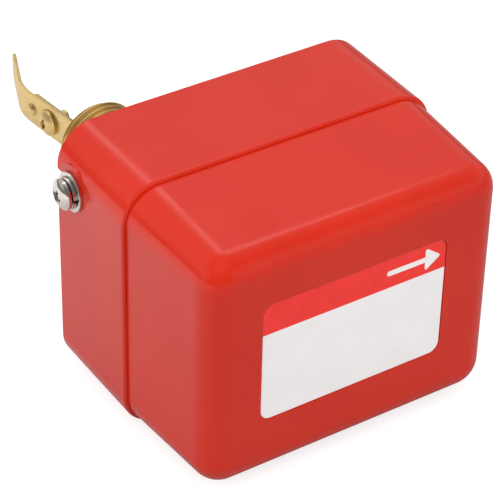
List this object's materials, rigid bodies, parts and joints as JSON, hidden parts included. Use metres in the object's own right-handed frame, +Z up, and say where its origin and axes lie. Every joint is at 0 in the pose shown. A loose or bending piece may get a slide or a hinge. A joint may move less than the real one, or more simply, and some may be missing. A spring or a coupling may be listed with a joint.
{
  "type": "paddle flow switch",
  "caption": "Paddle flow switch: drawn steel box over a tray, brass threaded nipple with a bent paddle on a pivoting lever, and a snap switch inside.",
  "frame": {"origin": "on the pipe thread's axis, at the shoulder of the hexagon where the thread starts", "axes": "+Y out of the nipple towards the pipe, +X along the flow arrow, +Z up as the switch lies on its side"},
  "size_m": [0.0863, 0.1372, 0.067],
  "materials": {
    "red_paint": "gloss",
    "label": "satin",
    "nickel": "polished",
    "zinc_steel": "satin",
    "steel": "satin",
    "brass": "satin",
    "black_rubber": "matte",
    "fibre": "matte",
    "black_plastic": "matte",
    "red_plastic": "gloss"
  },
  "bodies": {
    "base": {"base_tray": "zinc_steel", "body_gasket": "fibre", "cable_grommet": "black_rubber", "thread_body": "brass", "flange_screw_1": "steel", "flange_screw_2": "steel", "flange_screw_3": "steel", "flange_screw_4": "steel", "pivot_pin": "steel", "bracket": "zinc_steel", "switch_case": "black_plastic", "switch_lid": "black_plastic", "switch_screw_1": "steel", "switch_screw_2": "steel", "switch_terminal_1": "brass", "switch_terminal_2": "brass", "switch_terminal_3": "brass", "terminal_screw_1": "steel", "terminal_screw_2": "steel", "terminal_screw_3": "steel", "ground_screw": "brass", "ground_washer": "brass"},
    "cover": {"cover": "red_paint", "label_plate": "label"},
    "cover_washers": {"cover_flat_washer": "nickel", "cover_spring_washer": "nickel"},
    "cover_screw": {"cover_screw": "nickel"},
    "paddle": {"lever": "brass", "bellows": "brass", "paddle_blade": "brass", "paddle_screw": "brass", "paddle_rivet": "brass", "switch_arm": "zinc_steel"},
    "plunger": {"switch_plunger": "red_plastic"},
    "range_seat": {"range_seat": "brass", "range_spring": "steel"},
    "range_screw": {"range_screw": "brass"}
  },
  "joints": [
    {"name": "cover_slide", "type": "slide", "parent": "base", "child": "cover", "axis": [0, -1, 0], "range_m": [0, 0.062]},
    {"name": "cover_screw_lift", "type": "slide", "parent": "base", "child": "cover_washers", "axis": [-1, 0, 0], "range_m": [0, 0.0014]},
    {"name": "cover_screw_turn", "type": "hinge", "parent": "cover_washers", "child": "cover_screw", "pos_m": [-0.0303, -0.02715, 0.021], "axis": [-1, 0, 0], "range_deg": [0, 720]},
    {"name": "paddle_swing", "type": "hinge", "parent": "base", "child": "paddle", "pos_m": [0, -0.0146, 0], "axis": [0, 0, -1], "range_deg": [0, 10], "stiffness_Nm_per_rad": 0.05, "springref_deg": -11.46, "deforming": ["range_spring"]},
    {"name": "plunger_travel", "type": "slide", "parent": "base", "child": "plunger", "axis": [0, -1, 0], "range_m": [0, 0.00114]},
    {"name": "range_slide", "type": "slide", "parent": "base", "child": "range_seat", "axis": [0, 1, 0], "range_m": [-0.003, 0.003], "deforming": ["range_spring"]},
    {"name": "range_turn", "type": "hinge", "parent": "range_seat", "child": "range_screw", "pos_m": [0.022, -0.05, 0], "axis": [0, 1, 0], "range_deg": [-1543, 1543]}
  ],
  "couplings": [
    {"joint": "cover_screw_turn", "follows": "cover_screw_lift", "rad_per_m": 8976},
    {"joint": "plunger_travel", "follows": "paddle_swing", "m_per_rad": 0.0065507},
    {"joint": "range_turn", "follows": "range_slide", "rad_per_m": 8976}
  ]
}
